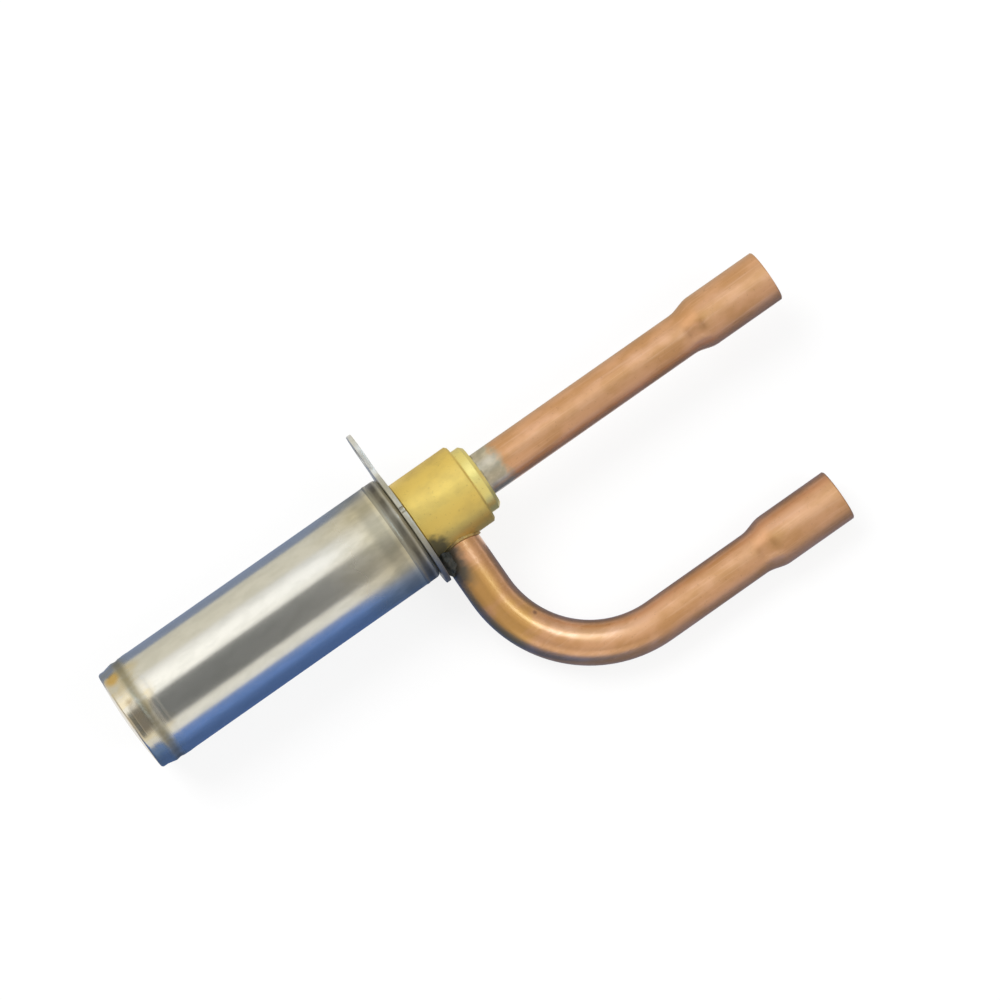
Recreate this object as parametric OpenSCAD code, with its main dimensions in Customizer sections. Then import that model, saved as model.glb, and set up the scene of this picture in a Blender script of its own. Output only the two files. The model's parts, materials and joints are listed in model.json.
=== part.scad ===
// Electronic expansion valve, shown bare, without the drive coil that slides onto its can.
// A turned brass body carries two brazed copper tubes, a sheet bracket and a welded steel can.
// In the can a magnet rotor runs up and down a fixed screw and lifts a needle off its seat.
// Lengths are in millimetres. X runs along the valve's axis towards the tubes, and Z is up.
// The origin is on that axis, in the weld between the can and its base ring.
// The valve is drawn closed, lying on the bracket's rim with its bent tube down on the same surface.

/* [Can] */
// Outer diameter of the can
can_d = 16; // [14.4:0.1:20]
// Wall of the can
can_wall = 0.4; // [0.3:0.05:0.6]
// Free length over the return spring when the valve is fully open
head_room = 1.9; // [1:0.05:8]
// Distance from the outer end to the middle of the rolled groove
groove_from_end = 3; // [2.4:0.1:3.4]
// Width of the rolled groove
groove_w = 1.4; // [1:0.1:2]
// Depth of the rolled groove
groove_depth = 0.1; // [0.06:0.02:0.4]
// Height of the bead that rolling raises beside the groove
bead_h = 0.03; // [0.02:0.01:0.15]
// Width of that bead
bead_w = 1.6; // [1:0.1:2.4]
// Radius that the can loses between the groove and its welded end
end_taper = 0.28; // [0.05:0.01:0.3]

/* [End plug] */
// Height of the flange that closes the end of the can
plug_flange_h = 1; // [0.8:0.1:1.4]
// Rounding of the welded outer edge
plug_corner_r = 0.45; // [0.3:0.05:0.75]
// Length of the plug inside the can
plug_depth = 3.8; // [3.6:0.1:6]
// Wall of the plug round its inner pocket
plug_wall = 1.6; // [1:0.1:3]

/* [Base ring] */
// Height of the rim that the can is welded to
ring_rim_h = 2.2; // [1.5:0.1:2.5]
// Height of the spigot inside the can
ring_spigot_h = 1.5; // [0.8:0.1:3]
// Rounding of the rim beside the bracket
ring_corner_r = 0.7; // [0.5:0.05:1.4]

/* [Bracket] */
// Diameter of the round part of the bracket
bracket_d = 18.8; // [17:0.1:24]
// Thickness of the sheet
bracket_t = 0.7; // [0.4:0.1:1.2]
// Distance from the axis to the tip of the tab
tab_reach = 15; // [13.5:0.1:20]
// Width of the tab
tab_w = 7; // [5:0.1:8]
// Fillet where the tab leaves the round part
tab_fillet_r = 1.6; // [0.5:0.1:2]
// Diameter of the hole that locks the coil
lock_hole_d = 3.4; // [2:0.1:4]
// Radius of the locating notch in the rim
notch_r = 0.45; // [0.2:0.05:0.8]
// Angle of the notch, from straight up towards the tab
notch_angle = 19; // [0:1:40]

/* [Body] */
// Diameter of the body
body_d = 12.3; // [11.6:0.1:15]
// Diameter of the nose round the outlet tube
nose_d = 10.1; // [8.4:0.1:11]
// Length of the nose
nose_len = 1.8; // [1.2:0.1:2.4]
// Chamfer on the end of the nose
nose_chamfer = 0.5; // [0.2:0.1:0.9]
// Diameter of the spigot that carries the bracket and the base ring
spigot_d = 9; // [8.4:0.1:10]
// Overhang of the lip rolled over the base ring
lip_overhang = 0.5; // [0.2:0.05:1]
// Height of that lip
lip_h = 0.5; // [0.3:0.05:1]
// Diameter of the valve chamber
chamber_d = 6.4; // [5.2:0.1:7]
// Distance from the inlet passage to the seat
seat_margin = 0.35; // [0.2:0.05:1.5]
// Diameter of the port that the needle closes
port_d = 2.2; // [1.4:0.1:2.8]
// Length of the port
port_len = 1.6; // [1:0.1:3]
// Length of the cone that opens from the port to the outlet tube
diffuser_len = 0.9; // [0.4:0.1:2]
// Chamfer on the turned edges
turned_chamfer = 0.3; // [0.1:0.05:0.5]

/* [Tubes] */
// Outer diameter of both tubes
tube_d = 6.35; // [6:0.05:7]
// Wall of both tubes
tube_wall = 0.7; // [0.5:0.05:0.9]
// Bore of the swaged sockets
socket_bore_d = 6.45; // [6.1:0.05:7.2]
// Wall of the swaged sockets
socket_wall = 0.65; // [0.4:0.05:0.9]
// Depth of the swaged sockets
socket_len = 10.8; // [6:0.1:14]
// Length of the taper from tube to socket
swage_len = 3.5; // [2:0.1:6]
// Rounding of the socket's outer edge
rim_chamfer = 0.15; // [0.05:0.05:0.3]
// Distance from the bracket to the mouth of the outlet
outlet_reach = 60.4; // [45:0.1:90]
// Depth of the outlet tube in the nose
outlet_insert = 2.7; // [2:0.1:4]
// Gap between the inlet tube and the bracket
inlet_gap = 0.4; // [0.35:0.05:2]
// Wall between the chamber and the end of the inlet tube
inlet_land = 1; // [0.6:0.1:1.2]
// Distance from the valve's axis to the parallel run of the inlet
inlet_offset = 30.6; // [26:0.1:45]
// Bend radius at the middle of the inlet tube
bend_r = 16.8; // [12:0.1:18]
// Distance from the bracket to the mouth of the inlet
inlet_reach = 51.4; // [42:0.1:80]
// Leg of the braze fillets
braze_leg = 0.3; // [0.2:0.05:0.3]

/* [Guide bush] */
// Length of the bush pressed into the body
bush_seat_len = 4.4; // [3:0.1:5]
// Diameter of the bush's flange
bush_flange_d = 8.2; // [7.2:0.1:8.8]
// Height of the bush's flange
bush_flange_h = 1; // [0.6:0.1:2]
// Diameter of the screw thread
thread_d = 6; // [5:0.1:6.2]
// Pitch of the screw thread
thread_pitch = 0.6; // [0.4:0.05:0.8]
// Length of the threaded stem
stem_len = 11; // [8:0.1:16]
// Diameter of the pressure vents
vent_d = 1; // [0.5:0.1:1.6]

/* [Stops] */
// Height of the fixed stop's ring
stop_ring_h = 2.2; // [1.2:0.1:4]
// Height of the fixed stop's lug
stop_lug_h = 1.6; // [1.4:0.1:2.5]
// Wall of the stop rings
stop_wall = 0.8; // [0.5:0.05:1]
// Height of the moving stop's ring
stop_collar_h = 2.4; // [1.2:0.1:4]
// Inset of the lugs from the edges of their rings
stop_lug_inset = 0.1; // [0.05:0.05:0.2]
// Angle that each lug takes up
stop_lug_angle = 30; // [15:1:40]

/* [Rotor] */
// Wall of the holder round its thread
holder_wall = 1.15; // [0.8:0.05:1.4]
// Depth of the spring room behind the holder's thread
spring_room = 0.4; // [0.3:0.05:0.6]
// Height of the holder's ceiling and neck
ceiling_h = 3.5; // [3:0.1:6]
// Height of the support ring on the neck
support_h = 2.5; // [1.5:0.1:2.8]
// Diameter of the holder's neck
neck_d = 6.2; // [5:0.1:7.4]
// Radial air gap between magnet and can
air_gap = 0.4; // [0.2:0.05:0.6]
// Height of the magnet above the body's lip
magnet_gap = 1.3; // [0.6:0.1:3]
// Length of the magnet past the support ring
magnet_overhang = 2.9; // [1:0.1:6]
// Length of the return spring
return_spring_len = 6.5; // [5:0.1:9]
// Wire of the return spring
return_wire_d = 0.5; // [0.3:0.05:0.6]
// Number of turns of the return spring
return_turns = 6; // [4:1:7]

/* [Needle] */
// Diameter of the needle's shaft
shaft_d = 3; // [2.4:0.1:3.6]
// Diameter of the shaft's upper end
shaft_neck_d = 2; // [1.4:0.1:2.2]
// Taper of the needle, radius lost for each millimetre
needle_taper = 0.45; // [0.3:0.01:0.8]
// Radius of the needle's blunt tip
needle_tip_r = 0.3; // [0.1:0.05:0.5]
// Height of the collar under the closing spring
collar_h = 1.2; // [0.8:0.1:2]
// Gap between the collar and the guide bush
collar_gap = 1.4; // [0.6:0.1:3]
// Length of the closing spring
closing_spring_len = 7.6; // [6:0.1:11]
// Wire of the closing spring
closing_wire_d = 0.5; // [0.3:0.05:0.6]
// Number of turns of the closing spring
closing_turns = 7; // [5:1:8]
// Thickness of the thrust washer
washer_t = 0.4; // [0.2:0.05:0.8]
// Diameter of the push nut
push_nut_d = 4.4; // [3.6:0.1:4.8]
// Height of the push nut
push_nut_h = 2.4; // [1.5:0.1:4]
// Turns of the rotor from closed to fully open
open_turns = 5; // [3:1:6]

/* [Clearances] */
// Radial clearance of turning and sliding fits
run_clearance = 0.03; // [0.02:0.01:0.05]
// Radial clearance of the screw thread
thread_clearance = 0.05; // [0.03:0.01:0.08]
// Axial clearance where moving faces meet
face_clearance = 0.05; // [0.03:0.01:0.1]
// Clearance between parts that pass each other
free_clearance = 0.3; // [0.2:0.05:0.4]

/* [Hidden] */

$fn = 72;
// Length by which a cutter reaches past the face that it opens
past = 1;

// Radii
can_r = can_d / 2;
can_in_r = can_r - can_wall;
bracket_r = bracket_d / 2;
body_r = body_d / 2;
nose_r = nose_d / 2;
spigot_r = spigot_d / 2;
chamber_r = chamber_d / 2;
port_r = port_d / 2;
tube_r = tube_d / 2;
tube_bore_r = tube_r - tube_wall;
socket_bore_r = socket_bore_d / 2;
socket_r = socket_bore_r + socket_wall;
thread_r = thread_d / 2;
shaft_r = shaft_d / 2;
shaft_neck_r = shaft_neck_d / 2;
holder_bore_r = thread_r + thread_clearance;
holder_r = holder_bore_r + holder_wall;
neck_r = neck_d / 2;
stop_r = holder_r + stop_wall;
magnet_in_r = stop_r + free_clearance;
magnet_r = can_in_r - air_gap;
push_nut_r = push_nut_d / 2;
collar_r = holder_bore_r - free_clearance;

// Places along the axis on the tube side of the can's weld
bracket_x = ring_rim_h;
shoulder_x = bracket_x + bracket_t;
inlet_x = shoulder_x + inlet_gap + tube_r;
seat_x = inlet_x + tube_bore_r + seat_margin;
port_end_x = seat_x + port_len;
outlet_seat_x = port_end_x + diffuser_len;
body_end_x = outlet_seat_x + outlet_insert;
nose_x = body_end_x - nose_len;
outlet_mouth_x = bracket_x + outlet_reach;
inlet_mouth_x = bracket_x + inlet_reach;

// Places along the axis on the can side of that weld
ring_in_x = -ring_spigot_h;
lip_x = ring_in_x - lip_h;
bush_end_x = lip_x + bush_seat_len;
bush_flange_x = lip_x - bush_flange_h;
stem_x = bush_flange_x - stem_len;
lug_root_x = bush_flange_x - stop_ring_h;
lug_top_x = lug_root_x - stop_lug_h;
holder_foot_x = lug_top_x - free_clearance;
collar_foot_x = stem_x - collar_gap;
collar_x = collar_foot_x - collar_h;
spring_top_x = collar_x - closing_spring_len;
ceiling_x = spring_top_x - washer_t - face_clearance;
holder_top_x = ceiling_x - ceiling_h;
support_x = holder_top_x + support_h;
washer_x = holder_top_x - face_clearance - washer_t;
push_nut_x = washer_x - push_nut_h;
magnet_foot_x = lip_x - magnet_gap;
magnet_top_x = holder_top_x - magnet_overhang;
return_spring_x = holder_top_x - return_spring_len;
lift = open_turns * thread_pitch;
plug_in_x = return_spring_x - lift - head_room;
can_end_x = plug_in_x - plug_depth;
plug_x = can_end_x - plug_flange_h;
groove_x = plug_x + groove_from_end;

// Roll about the axis that lays the inlet's socket on the surface under the bracket's rim
lie_roll = asin((bracket_r - socket_r) / inlet_offset);

// A round solid about the valve's axis, from points of radius and place along X
module turned(profile) {
    rotate([0, 90, 0]) rotate_extrude() polygon(profile);
}

// A plain round bar about the valve's axis
module bar(r, from_x, to_x) {
    translate([from_x, 0, 0]) rotate([0, 90, 0]) cylinder(r = r, h = to_x - from_x);
}

// A straight tube about the valve's axis
module sleeve(outer_r, inner_r, from_x, to_x) {
    difference() {
        bar(outer_r, from_x, to_x);
        bar(inner_r, from_x - past, to_x + past);
    }
}

// Turns what is drawn in the XY plane to the roll that the valve lies at
module lying() {
    rotate([lie_roll, 0, 0]) children();
}

// A bar that runs from the axis out through the side of the body where the inlet joins
module inlet_bar(r, from_y, to_y) {
    lying() translate([inlet_x, -from_y, 0]) rotate([90, 0, 0]) cylinder(r = r, h = to_y - from_y);
}

// A round vent straight across the axis
module cross_vent(at_x) {
    translate([at_x, 0, 0]) cylinder(d = vent_d, h = can_d, center = true);
}

// Points of a smooth rise from one radius to another along X
function rise(r0, r1, x0, x1, steps = 8) =
    [for (i = [0:steps]) [r0 + (r1 - r0) * (1 - cos(180 * i / steps)) / 2, x0 + (x1 - x0) * i / steps]];

// Points of the can's wall at its closed end, for a wall of the given radius: taper, groove and bead
function closed_end(r, steps = 8) = concat(
    [[r - end_taper, can_end_x]],
    [for (i = [0:steps])
        [r - groove_depth * (1 - cos(360 * i / steps)) / 2, groove_x + groove_w * (i / steps - 0.5)]],
    [for (i = [1:steps])
        [r + bead_h * (1 - cos(360 * i / steps)) / 2, groove_x + groove_w / 2 + bead_w * i / steps]]
);

// Points of a quarter round of radius r about a centre, from one angle to another
function arc(centre, r, from_a, to_a, steps = 6) =
    [for (i = [0:steps])
        let (a = from_a + (to_a - from_a) * i / steps)
        [centre[0] + r * cos(a), centre[1] + r * sin(a)]];

function reversed(list) = [for (i = [len(list) - 1:-1:0]) list[i]];

// Wire helix with closed end turns, from x = 0 to x = length
module spring(mean_r, wire_d, length, turns) {
    sides = 8;
    steps = 20 * turns;
    wire_r = wire_d / 2;
    end_pitch = 1.06 * wire_d;
    free_pitch = (length - wire_d - 2 * end_pitch) / (turns - 2);
    function place(t) = wire_r + end_pitch * min(t, 1) + free_pitch * min(max(t - 1, 0), turns - 2)
        + end_pitch * max(t - turns + 1, 0);
    points = [
        for (i = [0:steps], k = [0:sides - 1])
            let (t = turns * i / steps, r = mean_r + wire_r * cos(360 * k / sides))
            [place(t) + wire_r * sin(360 * k / sides), r * cos(360 * t), r * sin(360 * t)]
    ];
    skin = [
        for (i = [0:steps - 1], k = [0:sides - 1])
            let (a = i * sides + k, b = i * sides + (k + 1) % sides)
            each [[a, b, a + sides], [b, b + sides, a + sides]]
    ];
    first_end = [for (k = [sides - 1:-1:0]) k];
    last_end = [for (k = [0:sides - 1]) steps * sides + k];
    polyhedron(points, concat(skin, [first_end, last_end]), convexity = 10);
}

// Stop ring with one lug, the lug reaching along X from the ring
module stop(inner_r, ring_from, ring_to, lug_from, lug_to, start_angle) {
    sleeve(stop_r, inner_r, ring_from, ring_to);
    translate([lug_from, 0, 0]) rotate([start_angle, 0, 0]) rotate([0, 90, 0])
        rotate_extrude(angle = stop_lug_angle)
            translate([stop_r - stop_wall + stop_lug_inset, 0])
                square([stop_wall - 2 * stop_lug_inset, lug_to - lug_from]);
}

// Brass body: spigot with its rolled lip, valve chamber, seat, port and the two tube sockets
module valve_body() {
    c = turned_chamfer;
    color("goldenrod") difference() {
        turned([
            [chamber_r, lip_x], [spigot_r + lip_overhang, lip_x], [spigot_r + lip_overhang, ring_in_x],
            [spigot_r, ring_in_x], [spigot_r, shoulder_x],
            [body_r - c, shoulder_x], [body_r, shoulder_x + c], [body_r, nose_x - c], [body_r - c, nose_x],
            [nose_r, nose_x], [nose_r, body_end_x - nose_chamfer], [nose_r - nose_chamfer, body_end_x],
            [tube_r, body_end_x], [tube_r, outlet_seat_x], [tube_bore_r, outlet_seat_x],
            [port_r, port_end_x], [port_r, seat_x], [chamber_r, seat_x]
        ]);
        inlet_bar(tube_r, chamber_r + inlet_land, body_r + past);
        inlet_bar(tube_bore_r, 0, body_r);
    }
}

// Wall of a tube with its swaged socket, along the axis from a plain end to the mouth
module swaged_tube(from_x, mouth_x) {
    taper_end = mouth_x - socket_len;
    taper_start = taper_end - swage_len;
    c = rim_chamfer;
    turned(concat(
        [[tube_bore_r, from_x], [tube_r, from_x]],
        rise(tube_r, socket_r, taper_start, taper_end),
        [[socket_r, mouth_x - c], [socket_r - c, mouth_x], [socket_bore_r, mouth_x]],
        reversed(rise(tube_bore_r, socket_bore_r, taper_start, taper_end))
    ));
}

// Straight copper tube in the nose
module outlet_tube() {
    color("peru") swaged_tube(outlet_seat_x, outlet_mouth_x);
}

// Copper tube from the side of the body, bent to run beside the outlet
module inlet_tube() {
    bend_y = inlet_offset - bend_r;
    color("peru") lying() {
        difference() {
            translate([inlet_x, -chamber_r - inlet_land, 0]) rotate([90, 0, 0])
                cylinder(r = tube_r, h = bend_y - chamber_r - inlet_land);
            translate([inlet_x, past, 0]) rotate([90, 0, 0])
                cylinder(r = tube_bore_r, h = bend_y + 2 * past);
        }
        translate([inlet_x + bend_r, -bend_y, 0]) rotate([0, 0, 180]) rotate_extrude(angle = 90)
            translate([bend_r, 0]) difference() {
                circle(r = tube_r);
                circle(r = tube_bore_r);
            }
        translate([0, -inlet_offset, 0]) swaged_tube(inlet_x + bend_r, inlet_mouth_x);
    }
}

// Braze fillet where the outlet tube leaves the nose
module outlet_braze() {
    color("silver") turned(concat(
        [[tube_r, body_end_x]],
        reversed(arc([tube_r + braze_leg, body_end_x + braze_leg], braze_leg, 180, 270))
    ));
}

// Braze collar that follows the body where the inlet tube leaves it
module inlet_braze() {
    color("silver") intersection() {
        difference() {
            inlet_bar(tube_r + braze_leg, chamber_r, body_r + past);
            inlet_bar(tube_r, 0, body_r + 2 * past);
        }
        sleeve(body_r + braze_leg, body_r, inlet_x - tube_d, inlet_x + tube_d);
    }
}

// Outline of the bracket: a disc with a round-ended tab, filleted where they meet
module bracket_outline() {
    tab_r = tab_w / 2;
    tab_y = tab_reach - tab_r;
    fillet_x = tab_r + tab_fillet_r;
    fillet_y = sqrt(pow(bracket_r + tab_fillet_r, 2) - pow(fillet_x, 2));
    meet = bracket_r / (bracket_r + tab_fillet_r);
    circle(r = bracket_r);
    translate([-tab_r, 0]) square([tab_w, tab_y]);
    translate([0, tab_y]) circle(r = tab_r);
    for (side = [-1, 1]) scale([side, 1]) difference() {
        polygon([
            [0, 0], [fillet_x * meet, fillet_y * meet], [fillet_x, fillet_y], [0, fillet_y]
        ]);
        translate([fillet_x, fillet_y]) circle(r = tab_fillet_r);
    }
}

// Sheet bracket that locks the coil, clamped between the body and the base ring
module coil_bracket() {
    color("gainsboro") lying() translate([bracket_x, 0, 0]) rotate([0, 90, 0])
        linear_extrude(bracket_t) difference() {
            bracket_outline();
            circle(r = spigot_r);
            translate([0, tab_reach - tab_w / 2]) circle(d = lock_hole_d);
            rotate(-notch_angle) translate([-bracket_r, 0]) circle(r = notch_r);
        }
}

// Steel ring that closes the open end of the can
module base_ring() {
    color("silver") turned(concat(
        [[spigot_r, bracket_x], [spigot_r, ring_in_x], [can_in_r, ring_in_x], [can_in_r, 0], [can_r, 0]],
        arc([can_r - ring_corner_r, bracket_x - ring_corner_r], ring_corner_r, 0, 90)
    ));
}

// Thin steel tube of the can, rolled into a groove round the end plug
module can_tube() {
    color("lightgray") turned(concat(
        [[can_in_r, 0]],
        reversed(closed_end(can_in_r)),
        closed_end(can_r),
        [[can_r, 0]]
    ));
}

// Plug that closes the far end of the can, with a pocket on its inner side
module end_plug() {
    pocket_r = can_in_r - plug_wall;
    flange_r = can_r - end_taper;
    c = plug_corner_r;
    color("silver") turned(concat(
        [[0, plug_x]],
        arc([flange_r - c, plug_x + c], c, 270, 360),
        [[flange_r, can_end_x]],
        [for (point = closed_end(can_in_r)) if (point[1] < plug_in_x) point],
        [[can_in_r, plug_in_x], [pocket_r, plug_in_x], [pocket_r, can_end_x], [0, can_end_x]]
    ));
}

// Fixed bush that guides the needle inside and carries the screw thread outside
module guide_bush() {
    color("darkkhaki") difference() {
        union() {
            bar(chamber_r, lip_x, bush_end_x);
            bar(bush_flange_d / 2, bush_flange_x, lip_x);
            bar(thread_r, stem_x, bush_flange_x);
        }
        bar(shaft_r + run_clearance, stem_x - past, bush_end_x + past);
        cross_vent(lug_top_x);
    }
}

// Moulded stop that sits on the guide bush
module fixed_stop() {
    color("dimgray") stop(thread_r, lug_root_x, bush_flange_x, lug_top_x, lug_root_x, 0);
}

// Needle with its guide shaft, spring collar and thin upper end
module valve_needle() {
    cone_x = seat_x - (shaft_r - port_r + run_clearance) / needle_taper;
    tip_x = cone_x + (shaft_r - needle_tip_r) / needle_taper;
    color("lightsteelblue") turned([
        [0, tip_x], [needle_tip_r, tip_x], [shaft_r, cone_x], [shaft_r, collar_foot_x],
        [collar_r, collar_foot_x], [collar_r, collar_x], [shaft_neck_r, collar_x],
        [shaft_neck_r, push_nut_x], [0, push_nut_x]
    ]);
}

// Spring that presses the needle down from the holder's ceiling
module closing_spring() {
    color("slategray") translate([spring_top_x, 0, 0])
        spring(collar_r - closing_wire_d / 2, closing_wire_d, closing_spring_len, closing_turns);
}

// Slippery washer that lets the holder turn over the closing spring
module spring_washer() {
    color("whitesmoke") sleeve(collar_r, shaft_neck_r, spring_top_x - washer_t, spring_top_x);
}

// Washer between the push nut and the turning holder
module thrust_washer() {
    color("whitesmoke") sleeve(push_nut_r, shaft_neck_r, washer_x, washer_x + washer_t);
}

// Nut pressed onto the shaft, by which the holder lifts the needle
module push_nut() {
    color("darkgoldenrod") sleeve(push_nut_r, shaft_neck_r, push_nut_x, washer_x);
}

// Cup that turns on the guide bush's thread and carries the rotor
module shaft_holder() {
    room_r = holder_bore_r + spring_room;
    color("darkkhaki") difference() {
        union() {
            bar(holder_r, support_x, holder_foot_x);
            bar(neck_r, holder_top_x, support_x);
        }
        bar(holder_bore_r, ceiling_x, holder_foot_x + past);
        bar(room_r, ceiling_x, collar_foot_x);
        bar(shaft_neck_r + run_clearance, holder_top_x - past, ceiling_x + past);
        cross_vent((ceiling_x + collar_x) / 2);
    }
}

// Moulded stop on the foot of the holder, whose lug meets the fixed one when the valve shuts
module moving_stop() {
    gap_angle = 3;
    lug_tip_x = lug_top_x + thread_pitch / 2;
    color("dimgray") stop(
        holder_r, holder_foot_x - stop_collar_h, holder_foot_x, holder_foot_x, lug_tip_x,
        -stop_lug_angle - gap_angle
    );
}

// Ring that joins the magnet to the holder's neck
module support_ring() {
    color("darkkhaki") sleeve(magnet_in_r, neck_r, holder_top_x, support_x);
}

// Ring magnet of the rotor, with chamfered ends
module rotor_magnet() {
    c = turned_chamfer;
    color("darkslategray") turned([
        [magnet_in_r, magnet_foot_x], [magnet_r - c, magnet_foot_x], [magnet_r, magnet_foot_x - c],
        [magnet_r, magnet_top_x + c], [magnet_r - c, magnet_top_x], [magnet_in_r, magnet_top_x]
    ]);
}

// Light spring that brings the rotor back onto its thread after it has run out at the top
module return_spring() {
    mean_r = push_nut_r + free_clearance + return_wire_d / 2;
    color("slategray") translate([return_spring_x, 0, 0])
        spring(mean_r, return_wire_d, return_spring_len, return_turns);
}

valve_body();
outlet_tube();
inlet_tube();
outlet_braze();
inlet_braze();
coil_bracket();
base_ring();
can_tube();
end_plug();
guide_bush();
fixed_stop();
valve_needle();
closing_spring();
spring_washer();
thrust_washer();
push_nut();
shaft_holder();
moving_stop();
support_ring();
rotor_magnet();
return_spring();
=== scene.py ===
# %% [markdown]
# # An electronic expansion valve
# The valve lies on its side without its coil: a stainless can with the rotor sealed inside, a sheet
# bracket, a turned brass body and two copper tubes with swaged ends. The solids come from the packed
# model, and this script gives them finishes, finer shapes, a floor, light and a camera.

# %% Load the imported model
import json
import math

import bmesh
import bpy
from mathutils import Matrix, Vector, noise


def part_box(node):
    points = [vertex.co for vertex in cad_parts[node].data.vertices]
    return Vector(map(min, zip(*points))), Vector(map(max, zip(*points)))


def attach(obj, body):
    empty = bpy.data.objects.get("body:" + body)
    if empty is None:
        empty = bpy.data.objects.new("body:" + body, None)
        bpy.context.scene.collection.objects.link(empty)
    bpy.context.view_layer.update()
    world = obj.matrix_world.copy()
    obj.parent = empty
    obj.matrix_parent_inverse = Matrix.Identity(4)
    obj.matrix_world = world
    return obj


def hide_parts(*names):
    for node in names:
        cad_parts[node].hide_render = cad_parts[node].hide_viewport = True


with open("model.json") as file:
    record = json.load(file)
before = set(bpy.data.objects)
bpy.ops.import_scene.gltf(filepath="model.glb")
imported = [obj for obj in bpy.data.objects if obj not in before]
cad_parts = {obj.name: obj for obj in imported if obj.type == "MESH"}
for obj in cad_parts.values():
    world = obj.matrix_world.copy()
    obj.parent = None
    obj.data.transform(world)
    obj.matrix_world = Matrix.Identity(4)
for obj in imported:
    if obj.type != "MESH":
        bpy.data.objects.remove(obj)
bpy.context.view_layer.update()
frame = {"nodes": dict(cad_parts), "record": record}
NODES = frame["nodes"]
MM = 0.001

# %% [markdown]
# ## Camera
# The photograph looks down on the valve from almost straight above, a little from the side of the
# bent tube. The can's axis runs from the lower left to the upper right of the picture, so the camera
# is rolled about its own line of sight. A long lens far away keeps the can's sides nearly parallel.

# %% Camera above the valve
LINE_OF_SIGHT = Vector((0.055, 0.10, -1.0)).normalized()
AXIS_TILT = math.radians(34.82)
ROLL = -0.00721
CAMERA_PLACE = Vector((14.4385, 4.9378, 800.0)) * MM  # right, up and back, in the camera's own axes
LENS_IN_PICTURES = 5.8245  # focal length in widths of the picture
SENSOR = 36.0

back = -LINE_OF_SIGHT
level = Vector((math.cos(AXIS_TILT), -math.sin(AXIS_TILT), 0.0))
right = (level - level.dot(back) * back).normalized()
right = Matrix.Rotation(ROLL, 3, back) @ right
up = back.cross(right)
camera = bpy.data.objects.new("camera", bpy.data.cameras.new("camera"))
bpy.context.scene.collection.objects.link(camera)
camera.data.sensor_width = SENSOR
camera.data.lens = LENS_IN_PICTURES * SENSOR
turn = Matrix((right, up, back)).transposed()
camera.matrix_world = Matrix.Translation(turn @ CAMERA_PLACE) @ turn.to_4x4()
camera.data.clip_start, camera.data.clip_end = 0.01, 20.0
bpy.context.scene.camera = camera
bpy.context.scene.view_settings.view_transform = "Standard"
camera_spot = [round(c, 3) for c in camera.matrix_world.translation]
print("lens", round(camera.data.lens, 1), "mm, camera at", camera_spot)

# %% [markdown]
# ## A small kit for node trees
# Every finish is a tree of nodes, and most of that is adding a node, setting its inputs and joining
# it to the one before. A tiny function, add, does that, so each finish below reads as a list of
# layers. The others turn one number into another with a soft start and end, give the place on a piece
# in millimetres and along each axis, and put a mesh into the scene as an object.


# %% Add a node and join it
def add(tree, kind, inputs=None, **settings):
    node = tree.nodes.new("ShaderNode" + kind)
    for key, value in settings.items():
        setattr(node, key, value)
    for key, value in (inputs or {}).items():
        if isinstance(value, bpy.types.NodeSocket):
            tree.links.new(value, node.inputs[key])
        else:
            node.inputs[key].default_value = value
    return node


def fade(tree, value, start, end, low=0.0, high=1.0):
    inputs = {"Value": value, "From Min": start, "From Max": end, "To Min": low, "To Max": high}
    return add(tree, "MapRange", inputs, interpolation_type="SMOOTHSTEP").outputs[0]


def place_in_mm(tree):
    spot = add(tree, "TexCoord").outputs["Object"]
    return add(tree, "VectorMath", {0: spot, 1: (1 / MM,) * 3}, operation="MULTIPLY").outputs[0]


def along(tree, place):
    return add(tree, "SeparateXYZ", {0: place}).outputs


def place_object(name, mesh):
    obj = bpy.data.objects.new(name, mesh)
    bpy.context.scene.collection.objects.link(obj)
    return obj


print("node kit ready")

# %% [markdown]
# ## Floor and backdrop
# The floor is a plain white sheet. Part of its white is lit by the lamps and the room, which keeps the
# valve's soft shadow, and part is its own, for the camera and for the metal that mirrors it. The world
# behind it is white to both as well, so the horizon hardly shows from any side, and it is dimmer as a
# light, so the shadow isn't washed out.

# %% White floor and white room
FLOOR_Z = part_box("coil_bracket")[0][2]
FLOOR_RADIUS = 6.0
PAPER_WHITE = 0.93
OWN_WHITE = 0.82  # the share of the floor's white that is its own
ROOM_FILL = 0.55  # strength of the room as a light


def seen_directly(tree):
    """1 for rays of the camera and for mirrored and refracted ones, 0 for scattered light."""
    path = add(tree, "LightPath").outputs
    eye = add(tree, "Math", {0: path["Is Camera Ray"], 1: path["Is Glossy Ray"]}, operation="MAXIMUM")
    seen = add(tree, "Math", {0: eye.outputs[0], 1: path["Is Transmission Ray"]}, operation="MAXIMUM")
    return seen.outputs[0]


disc = bmesh.new()
bmesh.ops.create_circle(disc, cap_ends=True, segments=96, radius=FLOOR_RADIUS)
bmesh.ops.translate(disc, verts=disc.verts, vec=(0, 0, FLOOR_Z))
floor_mesh = bpy.data.meshes.new("floor")
disc.to_mesh(floor_mesh)
disc.free()
floor = place_object("floor", floor_mesh)

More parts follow.
